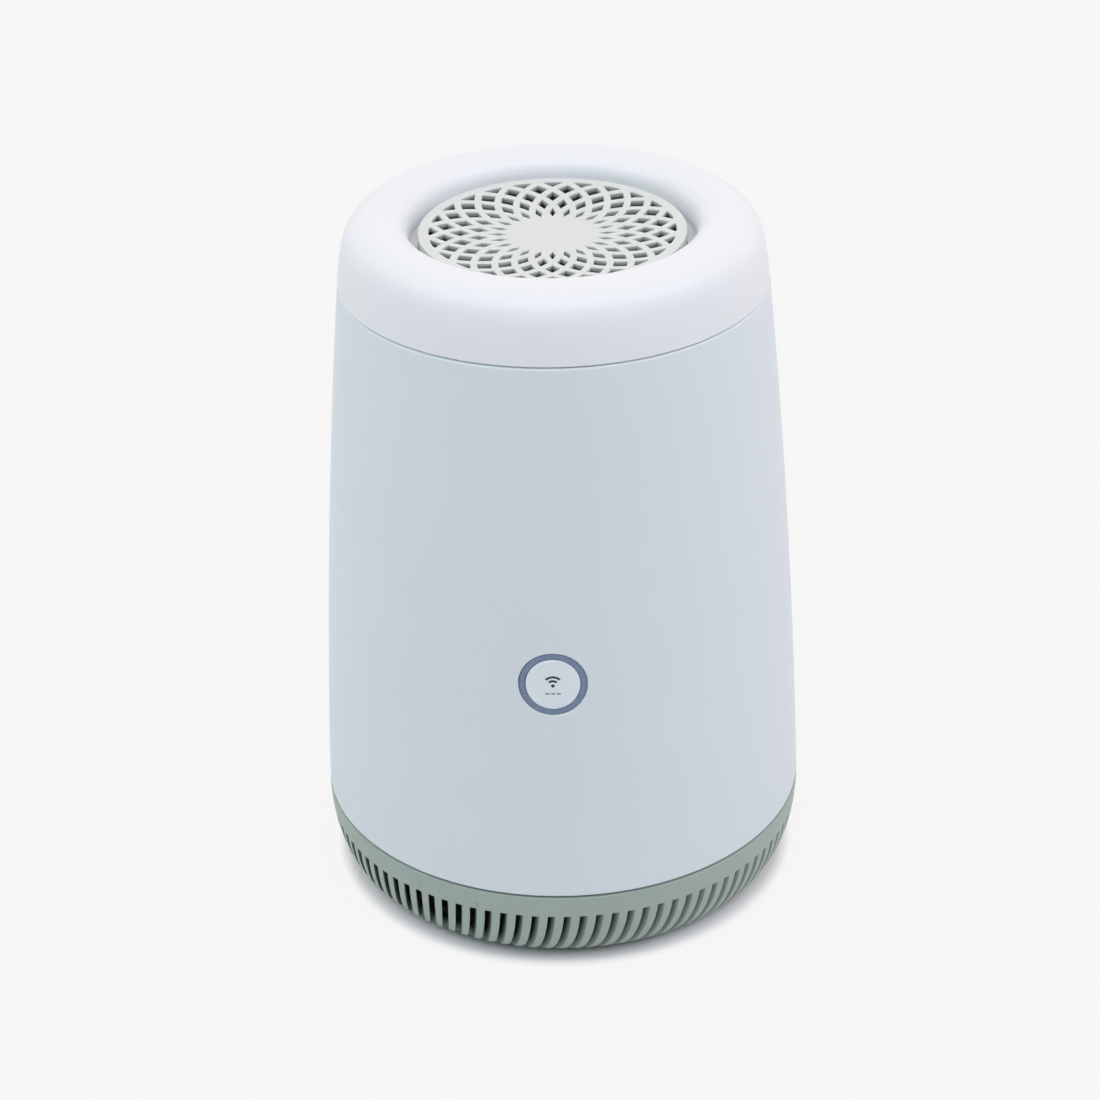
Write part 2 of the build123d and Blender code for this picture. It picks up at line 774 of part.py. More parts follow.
def heat_sink_screws():
    screws = []
    for y, z in sink_screw_places():
        head = rod_x(small_head_r, y, z, board_face_x, board_face_x + small_head_h)
        tip = board_back_x - sink_screw_bite + fit_gap
        screws.append(head + rod_x(small_screw_r, y, z, tip, board_face_x))
    return group(screws)


# Pressed can, open towards the board
def shield_can(width, height, y, z):
    side = (y - width / 2, y + width / 2)
    rise = (z - height / 2, z + height / 2)
    outer = span((board_face_x, board_face_x + shield_h), side, rise)
    inner = span((board_face_x, board_face_x + shield_h - shield_t),
                 (side[0] + shield_t, side[1] - shield_t), (rise[0] + shield_t, rise[1] - shield_t))
    return outer - inner


def rf_shields():
    radio = shield_can(radio_can_w, radio_can_h, radio_y, chip_mid_z + radio_z)
    amplifier = shield_can(amplifier_can_w, amplifier_can_h, amplifier_y, chip_mid_z + amplifier_z)
    return group([radio, amplifier])


# Stamped inverted-F antenna: an arm above the board on a ground leg and a feed leg
def stamped_antenna(y, z, turn):
    reach = antenna_h - antenna_arm
    feed = (antenna_feed, antenna_feed + antenna_leg)
    outline = Polyline(
        (0, 0), (0, antenna_leg), (reach, antenna_leg), (reach, feed[0]), (0, feed[0]), (0, feed[1]),
        (reach, feed[1]), (reach, antenna_l), (antenna_h, antenna_l), (antenna_h, 0), (0, 0),
    )
    blade = extrude(Plane.XZ * make_face(outline.edges()), amount=antenna_t)
    return Pos(board_face_x, y, z) * Rot(turn, 0, 0) * blade


# Two antennas in a row under the upper rail, two upright along the board's front edge
def antennas():
    screw_top_z = chip_mid_z + sink_screw_z + small_head_r
    row_z = (screw_top_z + rail_high_z) / 2
    rear_y = panel_y - jack_inset - jack_l - antenna_gap
    front_y = board_front_y + antenna_edge
    return group([
        stamped_antenna(rear_y, row_z, 90),
        stamped_antenna(rear_y - antenna_l - antenna_apart, row_z, 90),
        stamped_antenna(front_y, row_z - antenna_high - antenna_l, 0),
        stamped_antenna(front_y, rail_low_z + antenna_low, 0),
    ])


# Socket that links the button board to the main board's front edge
def link_socket():
    rear = button_board_y + button_board_t
    return span((board_face_x, board_face_x + link_w), (rear, board_front_y + link_grip),
                (button_z - link_h / 2, button_z + link_h / 2))


pieces = {
    "body_shell": body_shell(),
    "crown_ring": crown_ring(),
    "top_grille": top_grille(),
    "grille_carrier": grille_carrier(),
    "crown_screws": crown_screws(),
    "base_louvre": base_louvre(),
    "base_plate": base_plate(),
    "rubber_feet": rubber_feet(),
    "base_screws": base_screws(),
    "setup_button": setup_button(),
    "setup_plunger": setup_plunger(),
    "setup_switch": setup_switch(),
    "light_ring": light_ring(),
    "ring_leds": ring_leds(),
    "button_board": button_board(),
    "button_screws": button_screws(),
    "link_socket": link_socket(),
    "io_panel": io_panel(),
    "dc_jack": dc_jack(),
    "dc_jack_pin": dc_jack_pin(),
    "power_button": power_button(),
    "power_switch": power_switch(),
    "reset_plunger": reset_plunger(),
    "reset_switch": reset_switch(),
    "inner_chassis": inner_chassis(),
    "main_board": main_board(),
    "main_chips": main_chips(),
    "thermal_pad": thermal_pad(),
    "heat_sink": heat_sink(),
    "heat_sink_screws": heat_sink_screws(),
    "rf_shields": rf_shields(),
    "antennas": antennas(),
}
for name, z in zip(("lan_jack_1", "lan_jack_2", "lan_jack_3", "wan_jack"), socket_heights()):
    pieces[name] = network_jack(z)

os.makedirs("parts", exist_ok=True)
for name, piece in pieces.items():
    export_step(piece, f"parts/{name}.step")
    print(name, round(piece.volume, 1))
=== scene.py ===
import json
from math import acos, atan2, cos, pi, radians, sin, sqrt
import bmesh
import bpy
from mathutils import Matrix, Vector


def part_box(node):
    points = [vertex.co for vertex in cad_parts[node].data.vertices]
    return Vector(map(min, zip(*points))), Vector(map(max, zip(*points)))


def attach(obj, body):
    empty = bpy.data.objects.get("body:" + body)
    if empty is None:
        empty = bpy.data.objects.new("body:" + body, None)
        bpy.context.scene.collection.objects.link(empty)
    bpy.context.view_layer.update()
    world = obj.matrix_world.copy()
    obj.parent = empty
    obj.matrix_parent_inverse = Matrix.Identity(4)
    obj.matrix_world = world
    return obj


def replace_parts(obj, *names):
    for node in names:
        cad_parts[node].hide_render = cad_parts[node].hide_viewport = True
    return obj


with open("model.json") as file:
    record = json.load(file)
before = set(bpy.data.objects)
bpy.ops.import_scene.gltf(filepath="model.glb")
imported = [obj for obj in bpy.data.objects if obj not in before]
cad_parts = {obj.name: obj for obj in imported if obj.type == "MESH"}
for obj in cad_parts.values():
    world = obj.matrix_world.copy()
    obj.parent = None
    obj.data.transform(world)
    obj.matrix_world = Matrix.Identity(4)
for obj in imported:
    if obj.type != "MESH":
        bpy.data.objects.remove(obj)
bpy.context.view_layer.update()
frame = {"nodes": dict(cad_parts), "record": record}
mm = 0.001
weldGap = 0.002 * mm  # points of an outline this close are one point
print("frame loaded:", len(frame["nodes"]), "nodes")


def hexColor(code):  # sRGB code to the linear colour that a shader takes
    channels = [int(code[i:i + 2], 16) / 255 for i in (1, 3, 5)]
    return [c / 12.92 if c <= 0.04045 else ((c + 0.055) / 1.055) ** 2.4 for c in channels] + [1.0]


# Colour Mix nodes take their two colours at inputs 6 and 7 and give the blend at output 2
def addNode(tree, kind, values={}, links={}, **settings):
    node = tree.nodes.new("ShaderNode" + kind)
    for name, value in settings.items():
        setattr(node, name, value)
    for name, value in values.items():
        node.inputs[name].default_value = value
    for name, source in links.items():
        tree.links.new(source, node.inputs[name])
    return node


def perSize(size):  # texture scale that repeats a pattern once in this many millimetres
    return 1 / (size * mm)


def startFinish(name):
    finish = bpy.data.materials.new(name)
    finish.use_nodes = True
    tree = finish.node_tree
    tree.nodes.clear()
    place = addNode(tree, "TexCoord").outputs["Object"]
    shader = addNode(tree, "BsdfPrincipled")
    addNode(tree, "OutputMaterial", links={"Surface": shader.outputs["BSDF"]})
    return finish, tree, place, shader


def setShader(shader, **values):
    for name, value in values.items():
        shader.inputs[name.replace("_", " ")].default_value = value


scuffFade = (0.2, 1.0)  # a scuff is even up to the first share of its radii and gone at the second


# Share of each rubbed place, a soft spot of given radii round a point of the surface
def scuffShare(tree, place, scuffs):
    share = None
    for scuff in scuffs:
        spot = {"Location": [v * mm for v in scuff["at"]], "Scale": [v * mm for v in scuff["radii"]]}
        near = addNode(tree, "Mapping", spot, {"Vector": place}, vector_type="TEXTURE")
        away = addNode(tree, "VectorMath", {}, {0: near.outputs["Vector"]}, operation="LENGTH")
        fall = {"From Min": scuffFade[0], "From Max": scuffFade[1], "To Min": scuff["share"], "To Max": 0.0}
        fade = addNode(tree, "MapRange", fall, {"Value": away.outputs["Value"]}).outputs["Result"]
        if share is None:
            share = fade
        else:
            share = addNode(tree, "Math", {}, {0: share, 1: fade}, operation="MAXIMUM").outputs[0]
    return share


# Moulded plastic: a satin skin that carries the fine spark-eroded grain of its mould, with a faint
# cloudiness of colour and gloss where the melt flowed
def mouldedPlastic(look):
    finish, tree, place, shader = startFinish(look["name"])
    cloud = addNode(tree, "TexNoise", {"Scale": perSize(look["cloud"]), "Detail": 3.0}, {"Vector": place})
    tint = addNode(tree, "Mix", {6: hexColor(look["color"]), 7: hexColor(look["shade"])},
                   {0: cloud.outputs["Fac"]}, data_type="RGBA")
    if "paintedShade" in look:  # painted shade: the colour darkens towards the inside of slots and openings, following the slotDepth attribute
        deep = addNode(tree, "Attribute", attribute_name="slotDepth")
        share = addNode(tree, "MapRange", {"From Min": look["paintedShade"][0], "From Max": look["paintedShade"][1]},
                        {"Value": deep.outputs["Fac"]})
        tint = addNode(tree, "Mix", {7: hexColor(look["inner"])},
                       {0: share.outputs["Result"], 6: tint.outputs[2]}, data_type="RGBA")
    if "scuffs" in look:
        tint = addNode(tree, "Mix", {7: hexColor(look["rubbed"])},
                       {0: scuffShare(tree, place, look["scuffs"]), 6: tint.outputs[2]}, data_type="RGBA")
    tree.links.new(tint.outputs[2], shader.inputs["Base Color"])
    gloss = addNode(tree, "MapRange", {"To Min": look["gloss"][0], "To Max": look["gloss"][1]},
                    {"Value": cloud.outputs["Fac"]})
    tree.links.new(gloss.outputs["Result"], shader.inputs["Roughness"])
    grain = addNode(tree, "TexNoise", {"Scale": perSize(look["grain"]), "Detail": 2.0}, {"Vector": place})
    bump = addNode(tree, "Bump", {"Strength": look["relief"], "Distance": look["depth"] * mm},
                   {"Height": grain.outputs["Fac"]})
    tree.links.new(bump.outputs["Normal"], shader.inputs["Normal"])
    setShader(shader, IOR=look["ior"])
    return finish


# Sizes in millimetres. The grain is about 0.2 mm on the real moulds, drawn coarser so that it shows.
plastics = {
    # satin cool white from a fine-grained mould
    "body_white": {"name": "mouldedAbsWhite", "color": "#dae3e8", "shade": "#d6e0e5", "cloud": 45,
                   "gloss": (0.46, 0.56), "grain": 0.55, "relief": 0.25, "depth": 0.03, "ior": 1.53},
    # a purer white from a smoother mould, with soft highlights and a few rub marks
    "crown_white": {"name": "mouldedAbsCrown", "color": "#e6ebed", "shade": "#e3e8eb", "cloud": 45,
                    "gloss": (0.44, 0.54), "grain": 0.55, "relief": 0.15, "depth": 0.03, "ior": 1.53,
                    "rubbed": "#c9c8cf", "scuffs": [
                        {"at": (29.2, -41.2, 186.2), "radii": (0.5, 0.5, 0.5), "share": 0.35},
                        {"at": (30.6, -40.6, 186.2), "radii": (0.5, 0.5, 0.5), "share": 0.25},
                        {"at": (32.6, -40.6, 185.6), "radii": (1.6, 0.5, 0.5), "share": 0.2}]},
    # a slightly warmer white, with painted shade darkening it towards the foot of each opening
    "grille_white": {"name": "mouldedAbsGrille", "color": "#d5dbd7", "shade": "#d1d7d3", "cloud": 20,
                     "gloss": (0.48, 0.58), "grain": 0.5, "relief": 0.15, "depth": 0.03, "ior": 1.53,
                     "paintedShade": (0.06, 0.65), "inner": "#2a2a28"},
    # dull grey-green, painted shade turning it nearly black inside the slots, with two small scuffs
    "base_grey": {"name": "mouldedAbsGreyGreen", "color": "#a2b1a9", "shade": "#9baba3", "cloud": 25,
                  "gloss": (0.5, 0.62), "grain": 0.5, "relief": 0.35, "depth": 0.04, "ior": 1.53,
                  "paintedShade": (0.0, 0.72), "inner": "#0d1110", "rubbed": "#6f7e79", "scuffs": [
                      {"at": (-36.75, -53.45, 18.9), "radii": (0.4, 0.4, 1.2), "share": 0.6},
                      {"at": (-21.2, -61.27, 18.4), "radii": (0.6, 0.5, 1.3), "share": 0.6}]},
    # from a polished mould, the glossiest white
    "button_white": {"name": "mouldedAbsCap", "color": "#e1ebf1", "shade": "#dde8ee", "cloud": 15,
                     "gloss": (0.34, 0.42), "grain": 0.5, "relief": 0.1, "depth": 0.02, "ior": 1.53},
    # from a coarser mould, flat and a little grey
    "panel_white": {"name": "mouldedAbsPanel", "color": "#dfe5ea", "shade": "#d8dfe5", "cloud": 30,
                    "gloss": (0.5, 0.6), "grain": 0.6, "relief": 0.4, "depth": 0.05, "ior": 1.53},
    # glass-filled polyester, dull black with a slight drag of fibres
    "socket_black": {"name": "mouldedPolyesterBlack", "color": "#1d1e20", "shade": "#26272a", "cloud": 4,
                     "gloss": (0.42, 0.6), "grain": 0.35, "relief": 0.3, "depth": 0.02, "ior": 1.6},
    # filled epoxy, duller still
    "chip_black": {"name": "mouldedEpoxyBlack", "color": "#19191b", "shade": "#232326", "cloud": 3,
                   "gloss": (0.5, 0.68), "grain": 0.3, "relief": 0.3, "depth": 0.02, "ior": 1.55},
    # plain grey of pieces that stay inside
    "chassis_grey": {"name": "mouldedAbsGrey", "color": "#74777c", "shade": "#6b6e73", "cloud": 30,
                     "gloss": (0.5, 0.62), "grain": 0.6, "relief": 0.3, "depth": 0.04, "ior": 1.53},
    # soft thermoplastic rubber: nearly no gloss, dusty
    "foot_rubber": {"name": "mouldedRubber", "color": "#2b2c2e", "shade": "#38393b", "cloud": 6,
                    "gloss": (0.78, 0.92), "grain": 0.4, "relief": 0.5, "depth": 0.04, "ior": 1.5},
    # soft filled silicone with a greasy half gloss
    "pad_grey": {"name": "castSilicone", "color": "#8f969c", "shade": "#868d94", "cloud": 8,
                 "gloss": (0.6, 0.75), "grain": 0.5, "relief": 0.3, "depth": 0.03, "ior": 1.43},
    # clear and smooth over a pale filling
    "lamp_white": {"name": "castEpoxyLens", "color": "#efeddf", "shade": "#e6e3d2", "cloud": 1,
                   "gloss": (0.18, 0.28), "grain": 0.3, "relief": 0.05, "depth": 0.01, "ior": 1.55},
}


# Plated or drawn metal: fine lines along the rolling or drawing direction break up the reflection
def drawnMetal(look):
    finish, tree, place, shader = startFinish(look["name"])
    stretch = addNode(tree, "Mapping", {"Scale": look["stretch"]}, {"Vector": place})
    lines = addNode(tree, "TexNoise", {"Scale": perSize(look["line"]), "Detail": 2.0},
                    {"Vector": stretch.outputs["Vector"]})
    tint = addNode(tree, "Mix", {6: hexColor(look["color"]), 7: hexColor(look["shade"])},
                   {0: lines.outputs["Fac"]}, data_type="RGBA")
    tree.links.new(tint.outputs[2], shader.inputs["Base Color"])
    gloss = addNode(tree, "MapRange", {"To Min": look["gloss"][0], "To Max": look["gloss"][1]},
                    {"Value": lines.outputs["Fac"]})
    tree.links.new(gloss.outputs["Result"], shader.inputs["Roughness"])
    setShader(shader, Metallic=1.0)
    return finish


# Sizes in millimetres. The lines are about 0.05 mm on the real sheet, drawn coarser so that they show.
metals = {
    # warm soft glints along each wire
    "contact_metal": {"name": "goldPlatedBronze", "color": "#d8b25c", "shade": "#c79f4a", "line": 0.4,
                      "stretch": (1, 0.1, 1), "gloss": (0.36, 0.5)},
    # bright grey with an even haze
    "screw_steel": {"name": "zincPlatedSteel", "color": "#b9bbc0", "shade": "#a3a6ac", "line": 0.5,
                    "stretch": (1, 1, 1), "gloss": (0.28, 0.42)},
    # pale sheet with rolling lines
    "shield_steel": {"name": "tinnedSteelSheet", "color": "#c6c7c8", "shade": "#b3b5b7", "line": 0.6,
                     "stretch": (1, 1, 0.08), "gloss": (0.3, 0.45)},
    # long die lines down every fin
    "sink_aluminium": {"name": "extrudedAluminium", "color": "#c3c6ca", "shade": "#aeb2b7", "line": 0.7,
                       "stretch": (1, 1, 0.04), "gloss": (0.34, 0.5)},
}

guide = {"color": "#7c90b0", "deep": "#7083a2", "cloud": 3.0, "gloss": (0.3, 0.42), "ior": 1.585,
         "through": 0.12}


# Frosted polycarbonate light guide, unlit: a blue-grey ring that looks a little deep
def frostedGuide():
    finish, tree, place, shader = startFinish("frostedPolycarbonate")
    cloud = addNode(tree, "TexNoise", {"Scale": perSize(guide["cloud"]), "Detail": 2.0}, {"Vector": place})
    tint = addNode(tree, "Mix", {6: hexColor(guide["color"]), 7: hexColor(guide["deep"])},
                   {0: cloud.outputs["Fac"]}, data_type="RGBA")
    tree.links.new(tint.outputs[2], shader.inputs["Base Color"])
    gloss = addNode(tree, "MapRange", {"To Min": guide["gloss"][0], "To Max": guide["gloss"][1]},
                    {"Value": cloud.outputs["Fac"]})
    tree.links.new(gloss.outputs["Result"], shader.inputs["Roughness"])
    setShader(shader, IOR=guide["ior"], Transmission_Weight=guide["through"])
    return finish


board = {"mask": "#0f5a35", "copper": "#1c7a48", "spacing": 6.4, "trackShare": 0.03, "relief": 0.3,
         "depth": 0.03, "gloss": 0.32, "ior": 1.56}


# Glass-epoxy board under green solder mask: glossy, with the copper tracks showing paler through it
def solderMask():
    finish, tree, place, shader = startFinish("solderMaskGreen")
    mask = hexColor(board["mask"])
    # the board stands upright, so the pattern is turned onto its face
    turn = addNode(tree, "Mapping", {"Rotation": (0, pi / 2, 0)}, {"Vector": place})
    tracks = addNode(tree, "TexBrick", {"Scale": perSize(board["spacing"]), "Color1": mask, "Color2": mask,
                                        "Mortar": hexColor(board["copper"]),
                                        "Mortar Size": board["trackShare"]},
                     {"Vector": turn.outputs["Vector"]})
    tree.links.new(tracks.outputs["Color"], shader.inputs["Base Color"])
    bump = addNode(tree, "Bump", {"Strength": board["relief"], "Distance": board["depth"] * mm},
                   {"Height": tracks.outputs["Fac"]})
    tree.links.new(bump.outputs["Normal"], shader.inputs["Normal"])
    setShader(shader, Roughness=board["gloss"], IOR=board["ior"])
    return finish


finishes = {slot: mouldedPlastic(look) for slot, look in plastics.items()}
finishes.update({slot: drawnMetal(look) for slot, look in metals.items()})
finishes["light_guide"] = frostedGuide()
finishes["board_green"] = solderMask()
slotOf = {part["node"]: part["material_slot"] for part in frame["record"]["subparts"]}
for name, node in frame["nodes"].items():
    node.data.materials.clear()
    node.data.materials.append(finishes[slotOf[name]])
# the carrier shows pale in the gap round the disc
frame["nodes"]["grille_carrier"].data.materials[0] = finishes["crown_white"]
print("finishes made:", len(finishes))


def addPiece(name, mesh, body, slot):
    piece = bpy.data.objects.new(name, mesh)
    bpy.context.scene.collection.objects.link(piece)
    mesh.materials.append(finishes[slot])
    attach(piece, body)
    return piece


def smoothFaces(mesh, sharpDegrees):
    mesh.polygons.foreach_set("use_smooth", [True] * len(mesh.polygons))
    mesh.set_sharp_from_angle(angle=radians(sharpDegrees))


def meshOfCurve(name, curve):
    holder = bpy.data.objects.new(name, curve)
    bpy.context.scene.collection.objects.link(holder)
    mesh = bpy.data.meshes.new_from_object(holder.evaluated_get(bpy.context.evaluated_depsgraph_get()))
    bpy.data.objects.remove(holder)
    return mesh


# Filled flat outline with rounded edges, as a mesh that lies in XY about z = 0
def roundedPlate(name, outlines, thickness, edge, edgeSteps):
    curve = bpy.data.curves.new(name, "CURVE")
    curve.dimensions = "2D"
    curve.fill_mode = "BOTH"
    curve.extrude = thickness / 2 - edge
    curve.bevel_depth = edge
    curve.bevel_resolution = edgeSteps
    curve.offset = -edge
    for outline in outlines:
        spline = curve.splines.new("POLY")
        spline.points.add(len(outline) - 1)
        for point, (x, y) in zip(spline.points, outline):
            point.co = (x, y, 0, 1)
        spline.use_cyclic_u = True
    mesh = meshOfCurve(name, curve)
    form = bmesh.new()
    form.from_mesh(mesh)
    bmesh.ops.remove_doubles(form, verts=form.verts, dist=weldGap)
    bmesh.ops.recalc_face_normals(form, faces=form.faces)
    form.to_mesh(mesh)
    form.free()
    return mesh


# Dished disc of crossing circles, sizes in millimetres and degrees
lattice = {"rim": 2.65, "thick": 2.5, "dish": 1.5, "strand": 1.8, "circleRadius": 19.4,
           "circleOffset": 20.0, "circles": 24, "rows": 5, "firstSteps": 10, "turn": 1.5,
           "edge": 0.2, "edgeSteps": 3, "arcSteps": 9, "rimSteps": 240, "sharp": 60,
           "cell": 4.0, "level": 0.99, "cutSlack": 0.001, "skin": 0.001}


def onCircle(radius, angle, centre=(0, 0)):
    return (centre[0] + radius * cos(angle), centre[1] + radius * sin(angle))


def arcPoints(centre, radius, start, end, steps):  # the short way round, without its last point
    first = atan2(start[1] - centre[1], start[0] - centre[0])
    sweep = atan2(end[1] - centre[1], end[0] - centre[0]) - first
    sweep = (sweep + pi) % (2 * pi) - pi
    return [onCircle(radius, first + sweep * step / steps, centre) for step in range(steps)]


def outerCrossing(centreA, radiusA, centreB, radiusB):
    gap = Vector(centreB) - Vector(centreA)
    forward = (radiusA ** 2 - radiusB ** 2 + gap.length_squared) / (2 * gap.length)
    aside = sqrt(radiusA ** 2 - forward ** 2)
    unit = gap.normalized()
    foot = Vector(centreA) + forward * unit
    side = Vector((-unit.y, unit.x)) * aside
    return max((foot + side, foot - side), key=lambda point: point.length)


# One opening between the crossing arcs, its middle on +X, cut off by the rim in the outer rows
def latticeHole(row, rimRadius):
    halfStep = pi / lattice["circles"]
    steps = lattice["firstSteps"] - row
    wide = lattice["circleRadius"] + lattice["strand"] / 2
    narrow = lattice["circleRadius"] - lattice["strand"] / 2
    near = onCircle(lattice["circleOffset"], halfStep * (steps + 1))
    far = onCircle(lattice["circleOffset"], halfStep * (steps - 1))
    nearLow, farLow = (near[0], -near[1]), (far[0], -far[1])
    inner = (near[0] + sqrt(wide ** 2 - near[1] ** 2), 0)
    outer = (far[0] + sqrt(narrow ** 2 - far[1] ** 2), 0)
    low = outerCrossing(nearLow, wide, far, narrow)
    high = (low[0], -low[1])
    arcs = [(nearLow, wide, inner, low)]
    if outer[0] <= rimRadius:
        arcs += [(far, narrow, low, outer), (farLow, narrow, outer, high)]
    else:
        reach = rimRadius ** 2 + lattice["circleOffset"] ** 2 - narrow ** 2
        swing = acos(reach / (2 * rimRadius * lattice["circleOffset"])) - halfStep * (steps - 1)
        rimHigh, rimLow = onCircle(rimRadius, swing), onCircle(rimRadius, -swing)
        arcs += [(far, narrow, low, rimLow), ((0, 0), rimRadius, rimLow, rimHigh),
                 (farLow, narrow, rimHigh, high)]
    arcs.append((near, wide, high, inner))
    return [point for arc in arcs for point in arcPoints(*arc, lattice["arcSteps"])]


# Cuts the disc's flat faces into small cells, so that they can follow the dish
def cutFlats(mesh, reach):
    cell = lattice["cell"] * mm
    steps = int(reach / cell)
    form = bmesh.new()
    form.from_mesh(mesh)
    for side in (Vector((1, 0, 0)), Vector((0, 1, 0))):
        for step in range(-steps, steps + 1):
            flats = [face for face in form.faces if abs(face.normal.z) > lattice["level"]]
            edges = {edge for face in flats for edge in face.edges}
            corners = {corner for face in flats for corner in face.verts}
            bmesh.ops.bisect_plane(form, geom=flats + list(edges) + list(corners), plane_no=side,
                                   plane_co=side * step * cell, dist=lattice["cutSlack"] * mm)
    form.to_mesh(mesh)
    form.free()


def addGrille():
    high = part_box("top_grille")[1]
    radius = high.x / mm
    pitch = 2 * pi / lattice["circles"]
    rimSteps = lattice["rimSteps"]
    outlines = [[onCircle(high.x, 2 * pi * step / rimSteps) for step in range(rimSteps)]]
    for row in range(1, lattice["rows"] + 1):
        hole = latticeHole(row, radius - lattice["rim"])
        start = radians(lattice["turn"] - 90) + (0 if row % 2 else pitch / 2)
        for step in range(lattice["circles"]):
            turn = Matrix.Rotation(start + pitch * step, 2)
            outlines.append([turn @ Vector(point) * mm for point in reversed(hole)])
    thick = lattice["thick"] * mm
    mesh = roundedPlate("grilleDisc", outlines, thick, lattice["edge"] * mm, lattice["edgeSteps"])
    cutFlats(mesh, high.x)
    inner = (radius - lattice["rim"]) * mm
    dish = lattice["dish"] * mm
    fall = 2 * dish / inner ** 2  # slope of the dish for each metre from the axis
    depths = [0.5 - vertex.co.z / thick for vertex in mesh.vertices]  # 0 on the upper face, 1 on the lower
    for vertex in mesh.vertices:
        away = vertex.co.xy.length / inner
        vertex.co.z += high.z - thick / 2 - dish * max(0, 1 - away ** 2)
    rim = (radius - lattice["rim"] / 2) * mm  # the disc's outer wall gets no painted shade
    # painted shade share of each point: its depth through the disc
    paintedShade = [0 if vertex.co.xy.length > rim else depth for vertex, depth in zip(mesh.vertices, depths)]
    deep = mesh.attributes.new("slotDepth", "FLOAT", "POINT")
    deep.data.foreach_set("value", paintedShade)
    smoothFaces(mesh, lattice["sharp"])
    normals = []
    for face in mesh.polygons:
        shares = [depths[corner] for corner in face.vertices]
        flat = max(shares) < lattice["skin"] or min(shares) > 1 - lattice["skin"]
        for corner in face.vertices:
            place = mesh.vertices[corner].co.xy
            slope = Vector((*(place * fall if place.length < inner else Vector((0, 0))), -1)).normalized()
            normals.append(slope * (-1 if min(shares) < 0.5 else 1) if flat else Vector((0, 0, 0)))
    mesh.normals_split_custom_set(normals)  # zero keeps the rounded edges' own shading
    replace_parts(addPiece("grilleDisc", mesh, "housing", "grille_white"), "top_grille")


# Bowl with its swirl of slots, sizes in millimetres and degrees
louvre = {"seamRadius": 65.0, "seamGap": 0.4, "bulge": 0.2, "drop": 8.6, "reach": 6.8, "flatRadius": 55.6,
          "wall": 3.0, "floor": 4.0, "innerFlat": 54.3, "count": 96, "gap": 1.6, "turn": 33.5, "start": 2.6,
          "band": 6.2, "slotEnd": 57.3, "lipRadius": 53.7, "lipThick": 1.2, "plateHole": 52.0,
          "collarRoot": 4.0, "collarIn": 59.84, "collarOut": 62.14, "slotRows": 14, "bandRows": 3,
          "floorRows": 2, "vaneColumns": 3, "halvings": 40, "edge": 0.16, "edgeSteps": 2, "edgeAngle": 35,
          "sharp": 180, "mouth": 0.1}


def bezierPoint(points, share):
    rest = 1 - share
    weights = (rest ** 3, 3 * rest ** 2 * share, 3 * rest * share ** 2, share ** 3)
    return [sum(weight * point[axis] for weight, point in zip(weights, points)) for axis in (0, 1)]


def shareWhere(points, axis, value):  # both curves fall steadily from the seam to the flat underside
    low, high = 0.0, 1.0
    for _ in range(louvre["halvings"]):
        middle = (low + high) / 2
        if bezierPoint(points, middle)[axis] > value:
            low = middle
        else:
            high = middle
    return low


def along(points, start, end, steps):
    return [bezierPoint(points, start + (end - start) * step / steps) for step in range(steps + 1)]


# Angle, at a radius, of the slot wall that lies this far beside the slot's middle line
def slotAngle(radius, beside):
    heading = pi + radians(louvre["turn"])
    start = Vector((louvre["seamRadius"] - beside * sin(heading), beside * cos(heading)))
    ahead = Vector((cos(heading), sin(heading)))
    away = -start.dot(ahead)
    point = start + ahead * (away - sqrt(away ** 2 - start.length_squared + radius ** 2))
    return atan2(point.y, point.x)


# Section of the bowl as a closed loop of (radius, height), with the rows that the slots cut
def bowlSection():
    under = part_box("base_plate")[0].z / mm
    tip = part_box("base_louvre")[1].z / mm
    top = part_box("body_shell")[0].z / mm - louvre["seamGap"]
    floorTop = under + louvre["floor"]
    seam, wall = louvre["seamRadius"], louvre["wall"]
    bulge, drop = louvre["bulge"], top - louvre["drop"]
    bend = louvre["flatRadius"] + louvre["reach"]
    outside = [(seam, top), (seam + bulge, drop), (bend, under), (louvre["flatRadius"], under)]
    inside = [(seam - wall, top), (seam - wall + bulge, drop), (bend - wall, floorTop),
              (louvre["innerFlat"], floorTop)]
    slotTop = top - louvre["band"]
    root = top - louvre["collarRoot"]
    rows, bandRows, floorRows = louvre["slotRows"], louvre["bandRows"], louvre["floorRows"]
    outStart, outEnd = shareWhere(outside, 1, slotTop), shareWhere(outside, 0, louvre["slotEnd"])
    inStart, inEnd = shareWhere(inside, 1, slotTop), shareWhere(inside, 0, louvre["slotEnd"])
    outer = along(outside, 0, outStart, bandRows) + along(outside, outStart, outEnd, rows)[1:]
    outer += along(outside, outEnd, 1, bandRows)[1:]
    inner = along(inside, 1, inEnd, floorRows) + along(inside, inEnd, inStart, rows)[1:]
    inner.append(bezierPoint(inside, shareWhere(inside, 1, root)))
    foot = [(louvre["lipRadius"], under), (louvre["lipRadius"], under + louvre["lipThick"]),
            (louvre["plateHole"], under + louvre["lipThick"]), (louvre["plateHole"], floorTop)]
    collar = [(louvre["collarIn"], root), (louvre["collarIn"], tip), (louvre["collarOut"], tip),
              (louvre["collarOut"], top)]
    section = outer + foot + inner + collar
    outRows = list(range(bandRows, bandRows + rows + 1))
    firstIn = len(outer) + len(foot) + floorRows
    inRows = list(range(firstIn + rows, firstIn - 1, -1))
    return section, outRows, inRows


